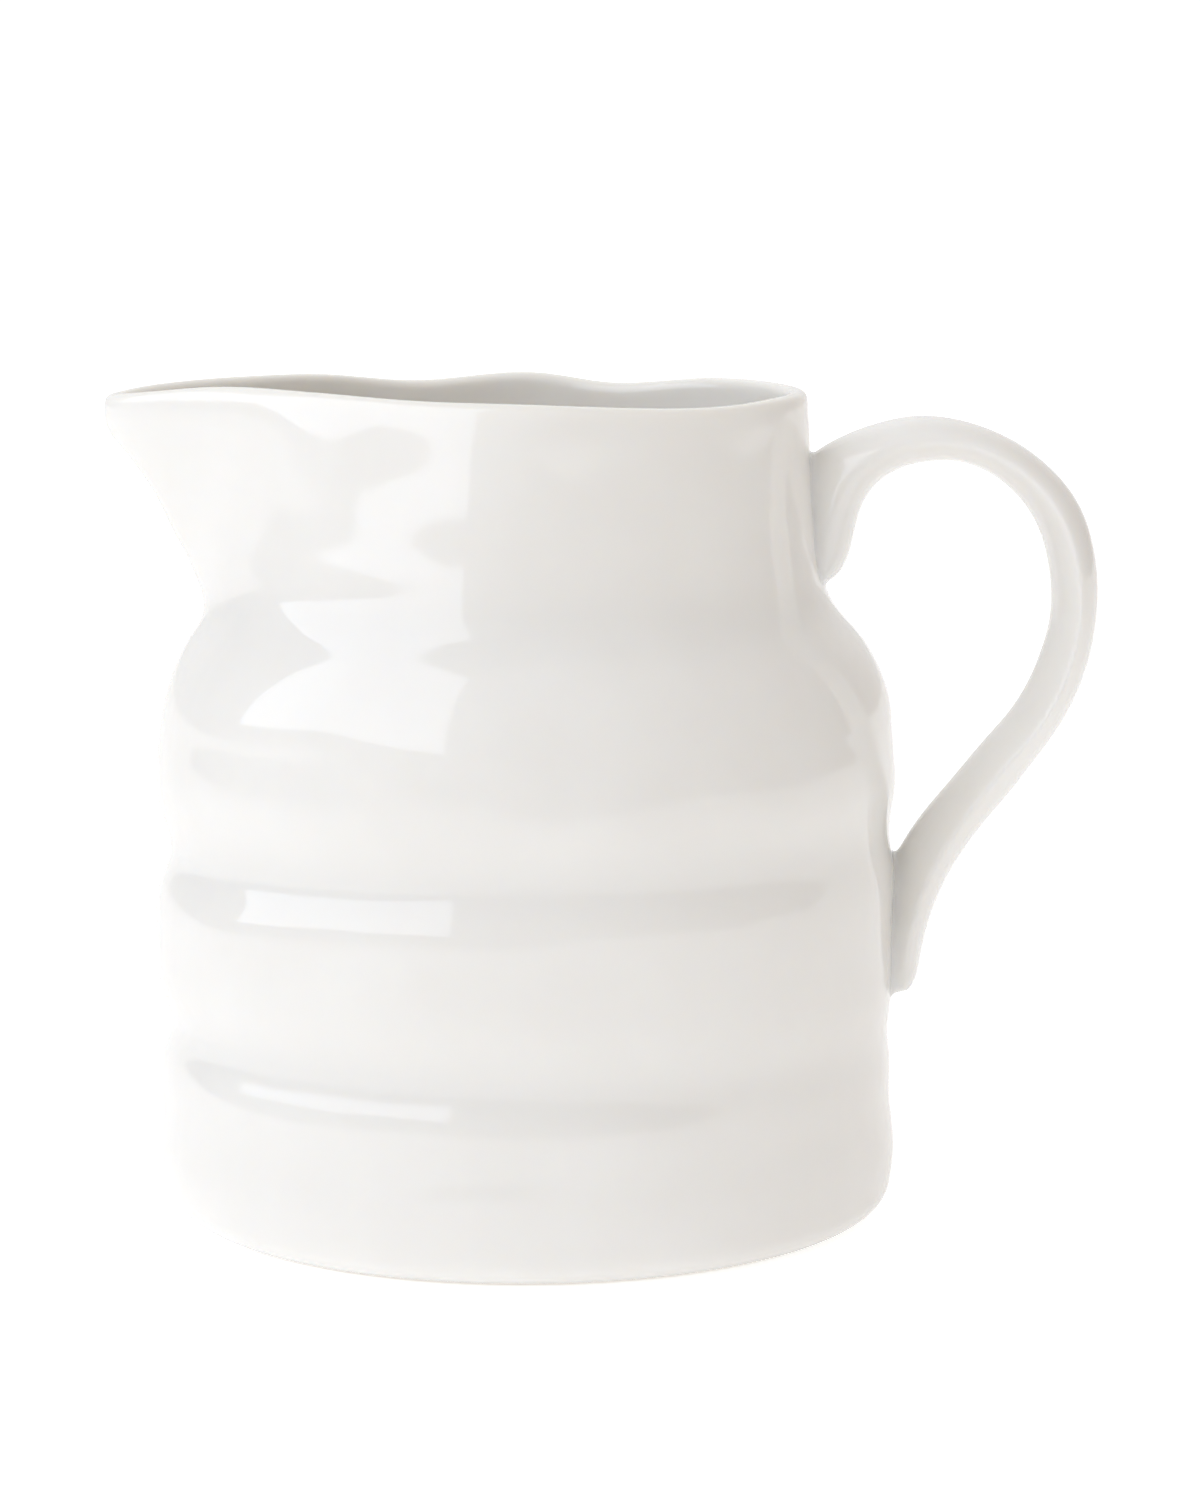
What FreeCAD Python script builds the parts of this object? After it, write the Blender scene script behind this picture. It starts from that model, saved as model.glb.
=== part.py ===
import FreeCAD, Part
import math
import os

import Sketcher
from FreeCAD import Placement, Rotation, Vector

# Stoneware milk pitcher: a round pot with two throwing grooves and a pulled spout, a strap handle,
# and the two seams of dried slip that hold the handle on. Millimetres, +Z up. The origin is the
# centre of the foot, on the surface that the pitcher stands on. The handle points to +X and the
# spout to -X.

# Driving dimensions: alias, value and what it is. Lengths are in millimetres, angles in degrees.
SIZES = [
    ("wall_thickness", 3.8, "clay wall, all the way round"),
    ("rim_height", 161.5, "top of the lip"),
    ("foot_edge_radius", 64.0, "where the foot leaves the table"),
    ("foot_ring_inner", 59.0, "inner edge of the dry foot ring"),
    ("foot_recess_top", 55.5, "radius of the recess at its roof"),
    ("foot_recess_depth", 2.6, "hollow under the pot"),
    ("floor_height", 7.4, "inside floor above the table"),
    ("floor_corner", 14.0, "inside rounding between floor and wall"),
    ("heel_height", 6.2, "top of the rounding between the foot and the wall"),
    ("heel_radius", 72.6, ""),
    ("low_belly_height", 13.0, "fullest part under the lower groove"),
    ("low_belly_radius", 73.2, ""),
    ("mid_belly_height", 55.0, "middle band, between the grooves"),
    ("mid_belly_radius", 72.8, ""),
    ("high_belly_height", 85.0, "band above the upper groove"),
    ("high_belly_radius", 72.7, ""),
    ("shoulder_start_height", 100.0, "belly starts to turn in"),
    ("shoulder_start_radius", 71.1, ""),
    ("shoulder_height", 110.0, "roundest part of the shoulder"),
    ("shoulder_radius", 67.7, ""),
    ("shoulder_end_height", 117.0, "steepest part of the shoulder"),
    ("shoulder_end_radius", 62.5, ""),
    ("neck_base_height", 124.0, "hollow where the neck starts"),
    ("neck_base_radius", 59.1, ""),
    ("neck_middle_height", 138.0, "neck tapers towards the lip"),
    ("neck_middle_radius", 57.1, ""),
    ("neck_top_radius", 55.4, "outside of the neck just under the lip"),
    ("groove_width", 4.6, "from the middle of a groove to its steepest side"),
    ("lower_groove_height", 36.0, ""),
    ("lower_groove_depth", 1.8, ""),
    ("upper_groove_height", 73.5, ""),
    ("upper_groove_depth", 2.1, ""),
    ("spout_reach", 26.2, "how far the lip is pulled out past the neck"),
    ("spout_throat_height", 117.0, "where the spout starts to leave the neck"),
    ("spout_half_angle", 11.5, "how fast the sides of the spout close in"),
    ("spout_tip_rounding", 8.0, "roundness of the spout's point"),
    ("handle_width", 21.0, "strap width, across the handle"),
    ("handle_thickness", 8.8, "strap thickness"),
    ("handle_start_x", 56.5, "tail of the upper joint"),
    ("handle_start_z", 125.5, ""),
    ("handle_start_heading", 73.6, "upward lean of the upper tail"),
    ("handle_start_length", 13.0, "straight run up the neck"),
    ("arch_radius", 19.1, "strap turning away from the neck"),
    ("arch_angle", 67.9, ""),
    ("crown_radius", 28.0, "top of the handle"),
    ("crown_angle", 37.6, ""),
    ("knuckle_radius", 28.2, "upper outer corner of the handle"),
    ("knuckle_angle", 40.7, ""),
    ("grip_radius", 40.7, "where the fingers pull"),
    ("grip_angle", 59.6, ""),
    ("fall_radius", 142.8, "long run back to the belly"),
    ("fall_angle", 10.0, ""),
    ("tail_radius", 50.4, "lower tail, turning down the wall"),
    ("tail_angle", 34.2, ""),
    ("slip_thickness", 0.7, "layer of slip between clay wall and handle"),
    ("slip_spread", 0.8, "slip squeezed out past the edge of the strap"),
    ("joint_split_height", 98.0, "between the upper and the lower joint"),
]

# The spout leaves the neck gradually: the share of its height before it grows in a straight line.
SPOUT_BLEND = 0.08

# Directions round one ring, and how closely each stretch of the wall's outline is followed.
RING_POINTS = 72
WALL_STATIONS = 64
ROUNDING_STATIONS = 7

# The handle is joined between these heights, so the tools that trim it reach a little further.
TRIM_LOW = 20.0
TRIM_HIGH = 156.0


def make_sheet(doc):
    """Write the driving dimensions to a spreadsheet, one row each."""
    sheet = doc.addObject("Spreadsheet::Sheet", "sizes")
    for row, (alias, value, meaning) in enumerate(SIZES, start=1):
        sheet.set(f"A{row}", alias)
        sheet.set(f"B{row}", str(value))
        sheet.set(f"C{row}", meaning)
        sheet.setAlias(f"B{row}", alias)
    doc.recompute()
    return sheet


def groove_cut(sheet, height):
    """How far the two throwing grooves sink the wall at this height."""
    cut = 0.0
    for groove in ("lower_groove", "upper_groove"):
        away = (height - sheet.get(groove + "_height")) / sheet.groove_width
        cut += sheet.get(groove + "_depth") * math.exp(-away * away)
    return cut


def wall_outline(sheet):
    """Points (radius, height) up the outside of the wall, from the foot rounding to the lip."""
    lip_radius = sheet.wall_thickness / 2
    stations = []
    for band in ("heel", "low_belly", "mid_belly", "high_belly", "shoulder_start", "shoulder",
                 "shoulder_end", "neck_base", "neck_middle"):
        stations.append(Vector(sheet.get(band + "_radius"), 0, sheet.get(band + "_height")))
    stations.append(Vector(sheet.neck_top_radius, 0, sheet.rim_height - lip_radius))
    smooth = Part.BSplineCurve()
    smooth.interpolate(Points=stations)
    outline = []
    for point in smooth.toShape().discretize(Number=WALL_STATIONS):
        outline.append((point.x - groove_cut(sheet, point.z), point.z))
    return outline


def arc_points(centre, width, rise, start, end):
    """Points (radius, height) round a corner of the outline; angles in degrees from outward."""
    points = []
    for step in range(ROUNDING_STATIONS + 1):
        angle = math.radians(start + (end - start) * step / ROUNDING_STATIONS)
        points.append((centre[0] + width * math.cos(angle), centre[1] + rise * math.sin(angle)))
    return points


def pot_outline(sheet):
    """The pot's whole half-section: inside floor, inside wall, lip, outside wall, foot rounding."""
    wall = sheet.wall_thickness
    outside = wall_outline(sheet)
    neck_radius, neck_height = outside[-1]
    lip = arc_points((neck_radius - wall / 2, neck_height), wall / 2, wall / 2, 180, 0)
    corner_top = sheet.floor_height + sheet.floor_corner
    corner_centre = (sheet.low_belly_radius - wall - sheet.floor_corner, corner_top)
    floor = arc_points(corner_centre, sheet.floor_corner, sheet.floor_corner, -90, 0)
    inside = []
    for radius, height in outside[:-1]:
        if height > corner_top + 1:
            inside.append((radius - wall, height))
    foot_centre = (sheet.foot_edge_radius, sheet.heel_height)
    foot_width = sheet.heel_radius - sheet.foot_edge_radius
    foot = arc_points(foot_centre, foot_width, sheet.heel_height, 0, -90)
    return floor + inside + lip + outside[-2:0:-1] + foot


def spout_pull(sheet, height, direction):
    """How far the wall is pulled out into the spout, at this height and direction."""
    throat = sheet.spout_throat_height
    lifted = (height - throat) / (sheet.rim_height - throat)
    if lifted <= 0:
        return 0.0
    blend_in = lifted * lifted * (1 + SPOUT_BLEND) / (lifted + SPOUT_BLEND)
    away = math.degrees(abs(math.remainder(direction - math.pi, 2 * math.pi)))
    point = sheet.spout_tip_rounding
    narrowing = (math.hypot(away, point) - point) / sheet.spout_half_angle
    return sheet.spout_reach * blend_in * math.exp(-narrowing)


def ring(sheet, radius, height):
    """One closed level curve of the pot, with the spout in it."""
    points = []
    for step in range(RING_POINTS):
        direction = 2 * math.pi * (step / RING_POINTS + 0.25)
        reach = radius + spout_pull(sheet, height, direction)
        points.append(Vector(reach * math.cos(direction), reach * math.sin(direction), height))
    curve = Part.BSplineCurve()
    knots = [step / RING_POINTS for step in range(RING_POINTS + 1)]
    curve.interpolate(Points=points, PeriodicFlag=True, Parameters=knots)
    return Part.Wire([curve.toShape()])


def add_shape(doc, name, shape):
    """Keep a shape that Part's functions made as an object of the document."""
    feature = doc.addObject("Part::Feature", name)
    feature.Shape = shape
    feature.Placement = Placement()
    return feature


def loft_rings(sheet, outline, offset=0.0):
    """One solid through the rings of an outline, closed flat at both ends."""
    rings = [ring(sheet, radius + offset, height) for radius, height in outline]
    return Part.makeLoft(rings, True, True)


def make_vessel(doc, sheet):
    """The pot: rings from the inside floor over the lip to the foot, less the recess below."""
    turned = add_shape(doc, "turned_pot", loft_rings(sheet, pot_outline(sheet)))
    recess = doc.addObject("Part::Cone", "foot_recess")
    recess.setExpression("Radius1", "sizes.foot_ring_inner")
    recess.setExpression("Radius2", "sizes.foot_recess_top")
    recess.setExpression("Height", "sizes.foot_recess_depth")
    return make_cut(doc, "vessel_body", turned, recess)


def make_trim(doc, sheet, name, offset):
    """A full plug of the pot's outer shape, grown by an offset, to trim the handle's ends."""
    outline = [point for point in wall_outline(sheet) if TRIM_LOW < point[1] < TRIM_HIGH]
    return add_shape(doc, name, loft_rings(sheet, outline, offset))


def origin_plane(body, role):
    """One of a body's own origin planes, by its role."""
    for feature in body.Origin.OriginFeatures:
        if feature.Role == role:
            return feature
    raise ValueError(role)


def handle_arcs(sheet):
    """Radius and turn of each arc along the handle; a turn to the right is negative."""
    arcs = []
    for name, side in (("arch", -1), ("crown", -1), ("knuckle", -1), ("grip", -1),
                       ("fall", 1), ("tail", 1)):
        arcs.append((name, sheet.get(name + "_radius"), side * sheet.get(name + "_angle")))
    return arcs


def add_path_sketch(body, sheet):
    """The handle's centre line: one straight run up the neck, then a chain of tangent arcs."""
    sketch = body.newObject("Sketcher::SketchObject", "handle_path")
    sketch.AttachmentSupport = (origin_plane(body, "XZ_Plane"), "")
    sketch.MapMode = "FlatFace"
    heading = math.radians(sheet.handle_start_heading)
    start = Vector(sheet.handle_start_x, sheet.handle_start_z, 0)
    point = start + Vector(math.cos(heading), math.sin(heading), 0) * sheet.handle_start_length
    sketch.addGeometry(Part.LineSegment(start, point))
    bound = [
        (Sketcher.Constraint("DistanceX", -1, 1, 0, 1, start.x), "handle_start_x"),
        (Sketcher.Constraint("DistanceY", -1, 1, 0, 1, start.y), "handle_start_z"),
        (Sketcher.Constraint("Distance", 0, sheet.handle_start_length), "handle_start_length"),
        (Sketcher.Constraint("Angle", 0, heading), "handle_start_heading"),
    ]
    tied = []
    end_of_last = 2
    for name, radius, turn in handle_arcs(sheet):
        side = math.copysign(1, turn)
        swept = math.radians(turn)
        centre = point + Vector(-math.sin(heading), math.cos(heading), 0) * radius * side
        first = math.atan2(point.y - centre.y, point.x - centre.x)
        circle = Part.Circle(centre, Vector(0, 0, 1), radius)
        ends = sorted((first, first + swept))
        index = sketch.addGeometry(Part.ArcOfCircle(circle, *ends))
        near, far = (1, 2) if turn > 0 else (2, 1)
        tied.append(Sketcher.Constraint("Tangent", index - 1, end_of_last, index, near))
        bound.append((Sketcher.Constraint("Radius", index, radius), name + "_radius"))
        bound.append((Sketcher.Constraint("Angle", index, abs(swept)), name + "_angle"))
        point = centre + Vector(math.cos(first + swept), math.sin(first + swept), 0) * radius
        heading += swept
        end_of_last = far
    for constraint in tied:
        sketch.addConstraint(constraint)
    bind_constraints(sketch, bound)
    return sketch


def bind_constraints(sketch, bound):
    """Add dimensional constraints and tie each to its cell in the spreadsheet."""
    for constraint, alias in bound:
        index = sketch.addConstraint(constraint)
        sketch.setExpression(f"Constraints[{index}]", f"sizes.{alias}")


def add_section_sketch(body, name, spread):
    """The strap's section: flat faces with full round edges, square to the path's start."""
    sketch = body.newObject("Sketcher::SketchObject", name)
    sketch.AttachmentSupport = (origin_plane(body, "XY_Plane"), "")
    sketch.MapMode = "FlatFace"
    sketch.AttachmentOffset = Placement(Vector(0, 0, 0), Rotation(Vector(0, 1, 0), 10))
    sketch.setExpression("AttachmentOffset.Base.x", "sizes.handle_start_x")
    sketch.setExpression("AttachmentOffset.Base.z", "sizes.handle_start_z")
    sketch.setExpression("AttachmentOffset.Rotation.Angle", "90 - sizes.handle_start_heading")
    sheet = body.Document.sizes
    grow = sheet.slip_spread if spread else 0
    edge = sheet.handle_thickness / 2 + grow
    flat = (sheet.handle_width - sheet.handle_thickness) / 2
    near_side = Part.Circle(Vector(0, -flat, 0), Vector(0, 0, 1), edge)
    far_side = Part.Circle(Vector(0, flat, 0), Vector(0, 0, 1), edge)
    sketch.addGeometry(Part.ArcOfCircle(near_side, math.pi, 2 * math.pi))
    sketch.addGeometry(Part.LineSegment(Vector(edge, -flat, 0), Vector(edge, flat, 0)))
    sketch.addGeometry(Part.ArcOfCircle(far_side, 0, math.pi))
    sketch.addGeometry(Part.LineSegment(Vector(-edge, flat, 0), Vector(-edge, -flat, 0)))
    sketch.addConstraint(Sketcher.Constraint("Tangent", 0, 2, 1, 1))
    sketch.addConstraint(Sketcher.Constraint("Tangent", 1, 2, 2, 1))
    sketch.addConstraint(Sketcher.Constraint("Tangent", 2, 2, 3, 1))
    sketch.addConstraint(Sketcher.Constraint("Tangent", 3, 2, 0, 1))
    sketch.addConstraint(Sketcher.Constraint("Vertical", 1))
    sketch.addConstraint(Sketcher.Constraint("Symmetric", 0, 3, 2, 3, -1, 1))
    radius = sketch.addConstraint(Sketcher.Constraint("Radius", 0, edge))
    spacing = sketch.addConstraint(Sketcher.Constraint("Distance", 1, 2 * flat))
    spread_term = " + sizes.slip_spread" if spread else ""
    sketch.setExpression(f"Constraints[{radius}]", "sizes.handle_thickness / 2" + spread_term)
    sketch.setExpression(f"Constraints[{spacing}]", "sizes.handle_width - sizes.handle_thickness")
    return sketch


def make_strap(doc, sheet, name, spread):
    """The whole pulled strap along the handle's path, with both ends still inside the wall."""
    body = doc.addObject("PartDesign::Body", name)
    path = add_path_sketch(body, sheet)
    section = add_section_sketch(body, name + "_section", spread)
    pipe = body.newObject("PartDesign::AdditivePipe", name + "_pipe")
    pipe.Profile = section
    pipe.Spine = path
    doc.recompute()
    return body


def make_cut(doc, name, base, tool):
    """One object less another."""
    cut = doc.addObject("Part::Cut", name)
    cut.Base = base
    cut.Tool = tool
    return cut


def make_joint(doc, name, layer, strap, side):
    """The part of the slip layer under one end of the strap."""
    joint = doc.addObject("Part::MultiCommon", name)
    joint.Shapes = [layer, strap, side]
    return joint


def make_side(doc, name, above):
    """A block that holds one half of the pitcher, above or below the split between the joints."""
    block = doc.addObject("Part::Box", name)
    block.setExpression("Length", "2 * sizes.low_belly_radius")
    block.setExpression("Width", "2 * sizes.low_belly_radius")
    block.setExpression("Placement.Base.y", "-sizes.low_belly_radius")
    if above:
        block.setExpression("Height", "sizes.rim_height - sizes.joint_split_height")
        block.setExpression("Placement.Base.z", "sizes.joint_split_height")
    else:
        block.setExpression("Height", "sizes.joint_split_height")
    return block


def make_handle(doc, sheet):
    """The handle and the two slip seams, trimmed to the pot's own surface."""
    pot_plug = make_trim(doc, sheet, "pot_plug", 0.0)
    slip_plug = make_trim(doc, sheet, "slip_plug", sheet.slip_thickness)
    strap = make_strap(doc, sheet, "pulled_strap", False)
    smear = make_strap(doc, sheet, "slip_smear", True)
    handle = make_cut(doc, "handle", strap, slip_plug)
    layer = make_cut(doc, "slip_layer", slip_plug, pot_plug)
    upper = make_joint(doc, "upper_slip_joint", layer, smear, make_side(doc, "upper_side", True))
    lower = make_joint(doc, "lower_slip_joint", layer, smear, make_side(doc, "lower_side", False))
    return [handle, upper, lower]


def check_document(doc, pieces):
    """Stop if any object failed, or a piece's shape isn't one sound solid."""
    for item in doc.Objects:
        if "Invalid" in item.State or "Error" in item.State:
            raise RuntimeError(f"{item.Label} did not build: {item.State}")
    for piece in pieces:
        shape = piece.Shape
        if shape.isNull() or not shape.isValid() or len(shape.Solids) != 1:
            raise RuntimeError(f"{piece.Label} is not one sound solid")
        box = shape.BoundBox
        print(f"{piece.Label}: {shape.Volume / 1000:.2f} cm3, x {box.XMin:.1f} to {box.XMax:.1f}, "
              f"y {box.YMin:.1f} to {box.YMax:.1f}, z {box.ZMin:.1f} to {box.ZMax:.1f}")


def main():
    doc = FreeCAD.newDocument("pitcher")
    sheet = make_sheet(doc)
    pieces = [make_vessel(doc, sheet)] + make_handle(doc, sheet)
    doc.recompute()
    check_document(doc, pieces)
    os.makedirs("parts", exist_ok=True)
    for piece in pieces:
        piece.Shape.exportStep(f"parts/{piece.Label}.step")


main()
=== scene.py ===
# %% [markdown]
# # A stoneware milk pitcher
#
# The real pitcher is one round pot of white stoneware with a pulled spout, and a strap handle
# that is stuck on with slip, which is clay thinned with water. All of it is then dipped in a
# white tin glaze and fired. This script models it in that order: the pot goes up ring by ring as
# on a wheel, the spout is pulled and the wall gets its finger marks, the strap is bent and
# pressed on, and last come the glaze, the light and the camera. Sizes of clay are in millimetres,
# and one function turns them into Blender's metres.

# %% Load the engineering model, which fixes the frame
import math

import bpy
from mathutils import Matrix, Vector, noise


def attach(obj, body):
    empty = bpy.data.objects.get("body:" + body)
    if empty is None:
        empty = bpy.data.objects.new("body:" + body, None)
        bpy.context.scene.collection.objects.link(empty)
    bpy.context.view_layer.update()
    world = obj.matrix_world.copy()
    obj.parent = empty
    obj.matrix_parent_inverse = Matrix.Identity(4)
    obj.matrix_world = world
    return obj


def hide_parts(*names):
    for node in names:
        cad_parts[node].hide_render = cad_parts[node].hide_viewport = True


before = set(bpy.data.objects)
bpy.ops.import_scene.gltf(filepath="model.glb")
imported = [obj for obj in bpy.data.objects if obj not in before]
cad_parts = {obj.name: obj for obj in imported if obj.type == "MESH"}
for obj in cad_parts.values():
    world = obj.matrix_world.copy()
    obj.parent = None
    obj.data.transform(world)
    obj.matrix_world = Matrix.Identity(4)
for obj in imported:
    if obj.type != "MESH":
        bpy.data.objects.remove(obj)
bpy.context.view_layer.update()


# %% [markdown]
# Blender works in metres, and a pot is easier to think about in millimetres. Every operator acts
# on all that is selected, so one small function clears the selection before each new piece, and
# another selects just the piece that is worked on. A modifier is applied as soon as it is set up,
# so that what comes next works on the finished mesh.

# %% Units and selection
MM = 0.001


def metres(*lengths):
    """Millimetres to metres: one number, or a point."""
    if len(lengths) == 1:
        return lengths[0] * MM
    return Vector(lengths) * MM


def deselect_all():
    if bpy.context.object and bpy.context.object.mode != "OBJECT":
        bpy.ops.object.mode_set(mode="OBJECT")
    bpy.ops.object.select_all(action="DESELECT")


def work_on(piece):
    deselect_all()
    piece.select_set(True)
    bpy.context.view_layer.objects.active = piece


def finish_with(piece, kind, **settings):
    """Add a modifier, set it up and apply it."""
    work_on(piece)
    modifier = piece.modifiers.new(kind.lower(), kind)
    for name, value in settings.items():
        setattr(modifier, name, value)
    bpy.ops.object.modifier_apply(modifier=modifier.name)


print("one millimetre is", metres(1), "m")

# %% [markdown]
# A potter judges a shape by a few heights: the fullest part of the belly, the shoulder, the
# hollow of the neck. The outline is kept the same way, as a radius at a few heights, and a smooth
# curve joins them. A cubic piece between two neighbours, with its slope taken from the points on
# either side, gives the soft line of clay. The same function serves for the wave of the rim,
# which runs round the pot and meets itself. Two more shapes do the rest: a soft step, and a
# single soft bump.

# %% A smooth line through a few stations
def smooth_line(stations, at, period=None):
    """The value at one place on a smooth line through (place, value) stations."""
    points = list(stations)
    if period:
        at = (at - points[0][0]) % period + points[0][0]
        before = [(place - period, value) for place, value in points[-2:]]
        after = [(place + period, value) for place, value in points[:2]]
        points = before + points + after
    at = min(max(at, points[0][0]), points[-1][0])
    last = len(points) - 2
    index = next((i for i in range(last + 1) if at <= points[i + 1][0]), last)

    def slope(i):
        low, high = max(i - 1, 0), min(i + 1, len(points) - 1)
        return (points[high][1] - points[low][1]) / (points[high][0] - points[low][0])

    (start, value_a), (end, value_b) = points[index], points[index + 1]
    gap = end - start
    t = (at - start) / gap
    return ((1 + 2 * t) * (1 - t) ** 2 * value_a + t * (1 - t) ** 2 * gap * slope(index)
            + t * t * (3 - 2 * t) * value_b + t * t * (t - 1) * gap * slope(index + 1))


def ease(low, high, at):
    """0 below low, 1 above high, and a soft step between them."""
    t = min(max((at - low) / (high - low), 0.0), 1.0)
    return t * t * (3 - 2 * t)


def bump(centre, width, at):
    """1 at the centre, fading to nothing over about twice the width."""
    return math.exp(-((at - centre) / width) ** 2)


print("half way up a step:", ease(0, 10, 5), "and one width off a bump:", round(bump(0, 10, 10), 2))

# %% [markdown]
# The half-section of the pot starts under the foot. A shallow recess leaves a dry ring to stand
# on, the heel rounds up into the wall, the wall rises to the lip, the lip turns over, and the
# inside comes back down to the floor. The wall, measured level, is the same thickness all the
# way, as in good throwing. The underside is listed as (distance from the edge of the foot,
# height), and the wall as (height, radius).

# %% Measures of the pot
RIM_HEIGHT = 161.4
WALL = 3.8
LIP_RADIUS = WALL / 2
RECESS_DEPTH = 2.6
FLOOR_HEIGHT = 7.4
HEEL_WIDTH = 8.6
HEEL_RISE = 6.2
FLOOR_CORNER = 14.0
UNDERSIDE = [(-34.0, RECESS_DEPTH), (-12.0, RECESS_DEPTH), (-8.0, 2.3), (-6.0, 1.0), (-5.0, 0.15),
             (-4.0, 0.0), (-2.0, 0.0)]
FLOOR_RINGS = (36.0, 16.0)
WALL_STATIONS = [
    (HEEL_RISE, 72.6), (13.0, 73.2), (24.0, 72.3), (44.0, 72.8), (56.0, 72.8), (68.0, 72.7),
    (80.0, 72.6), (86.0, 72.7), (95.0, 71.8), (102.0, 70.8), (108.0, 68.7), (113.0, 65.8),
    (118.0, 61.7), (122.0, 59.6), (128.0, 58.5), (138.0, 57.1), (150.0, 56.0),
    (RIM_HEIGHT - LIP_RADIUS, 55.4),
]
print("pot:", RIM_HEIGHT, "mm tall,", 2 * max(radius for _, radius in WALL_STATIONS), "mm across")

# %% [markdown]
# Those few measures become a closed line of rings, each a radius and a height. Rings every couple
# of millimetres are close enough for the soft marks that come later, and every rounded corner
# gets six steps of its own.

# %% The pot's half-section
RING_STEP = 2.2
CORNER_STEPS = 6


def corner(centre, width, rise, start, end):
    """Points (radius, height) round a corner of the half-section, from start to end in degrees."""
    points = []
    for step in range(CORNER_STEPS + 1):
        angle = math.radians(start + (end - start) * step / CORNER_STEPS)
        points.append((centre[0] + width * math.cos(angle), centre[1] + rise * math.sin(angle)))
    return points


def half_section():
    """Points (radius, height) from the underside, round the wall, to the middle of the floor."""
    foot = WALL_STATIONS[0][1] - HEEL_WIDTH
    underside = [(foot + inward, height) for inward, height in UNDERSIDE]
    heel = corner((foot, HEEL_RISE), HEEL_WIDTH, HEEL_RISE, -90, 0)
    wall_rise = WALL_STATIONS[-1][0] - HEEL_RISE
    steps = round(wall_rise / RING_STEP)
    heights = [HEEL_RISE + wall_rise * step / steps for step in range(1, steps)]
    wall = [(smooth_line(WALL_STATIONS, height), height) for height in heights]
    neck_radius, lip_height = WALL_STATIONS[-1][1], WALL_STATIONS[-1][0]
    lip = corner((neck_radius - LIP_RADIUS, lip_height), LIP_RADIUS, LIP_RADIUS, 0, 180)
    corner_top = FLOOR_HEIGHT + FLOOR_CORNER
    inside = [(radius - WALL, height) for radius, height in reversed(wall) if height > corner_top]
    floor_edge = WALL_STATIONS[1][1] - WALL - FLOOR_CORNER
    floor = corner((floor_edge, corner_top), FLOOR_CORNER, FLOOR_CORNER, 0, -90)
    middle = [(radius, FLOOR_HEIGHT) for radius in FLOOR_RINGS]
    return underside + heel + wall + lip + inside + floor + middle


outline = half_section()
print("half-section:", len(outline), "rings")

# %% [markdown]
# On the wheel the clay is drawn up ring by ring. The same is done here in edit mode: a circle on
# the underside is the first ring, and each next ring is an extrude of the last one, moved to its
# height and scaled to its radius. A spun outline would give the same round pot, but this way each
# ring is a real step of the making. The first and last circles are filled, so the skin is closed.

# %% Throw the pot
RING_POINTS = 128


def throw_pot(name, rings):
    deselect_all()
    radius, height = rings[0]
    bpy.ops.mesh.primitive_circle_add(vertices=RING_POINTS, radius=metres(radius),
                                      fill_type="TRIFAN", location=metres(0, 0, height))
    pot = bpy.context.object
    pot.name = pot.data.name = name
    bpy.ops.object.transform_apply(location=True)
    bpy.ops.object.mode_set(mode="EDIT")
    bpy.ops.mesh.select_mode(type="EDGE")
    bpy.ops.mesh.select_all(action="DESELECT")
    bpy.ops.mesh.select_non_manifold()
    for next_radius, next_height in rings[1:]:
        rise = metres(next_height - height)
        bpy.ops.mesh.extrude_region_move(TRANSFORM_OT_translate={"value": (0, 0, rise)})
        widen = next_radius / radius
        bpy.ops.transform.resize(value=(widen, widen, 1), center_override=(0, 0, 0))
        radius, height = next_radius, next_height
    bpy.ops.mesh.fill()
    bpy.ops.mesh.poke()
    bpy.ops.mesh.select_all(action="SELECT")
    bpy.ops.mesh.normals_make_consistent(inside=False)
    bpy.ops.object.mode_set(mode="OBJECT")
    return pot


vessel = throw_pot("vessel", outline)
print("thrown:", len(vessel.data.polygons), "faces")

# %% [markdown]
# While the clay is soft the potter pulls the lip out to a spout, between two fingers and one
# finger of the other hand. The pull starts at the neck and grows to the lip, and it is narrow: a
# sharp fold in the middle that fades to both sides. It is a function of the height and of the
# direction round the pot, in degrees: the handle is at 0, the front at -90 and the spout at 180.

# %% The pull of the spout
SPOUT = 180.0
SPOUT_REACH = [(116.0, 0.0), (119.5, 1.7), (123.0, 4.0), (129.0, 7.4), (135.0, 11.6),
               (141.5, 15.4), (147.5, 19.7), (150.7, 22.2), (153.0, 24.6), (156.0, 26.2),
               (RIM_HEIGHT, 26.6)]
SPOUT_SIDE = 11.5
SPOUT_POINT = 8.0


def turn_between(direction, centre):
    """The angle from one direction to another, in degrees, the short way round."""
    return (direction - centre + 180) % 360 - 180


def spout_pull(direction, height):
    away = abs(turn_between(direction, SPOUT))
    narrowing = (math.hypot(away, SPOUT_POINT) - SPOUT_POINT) / SPOUT_SIDE
    return smooth_line(SPOUT_REACH, height) * math.exp(-narrowing)


print("spout at the lip:", spout_pull(SPOUT, RIM_HEIGHT), "mm out")

# %% [markdown]
# Then a finger is pressed into the turning belly, once high and once low. The hand isn't steady,
# so neither groove is quite level, and both are shallower on the handle's side. The neck and the
# shoulder get a few marks of the thumb. One of negative depth is a place where a thumb inside
# pushed the wall out, and the last one is where the pot was lifted off the wheel and its heel
# gave way.

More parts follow.
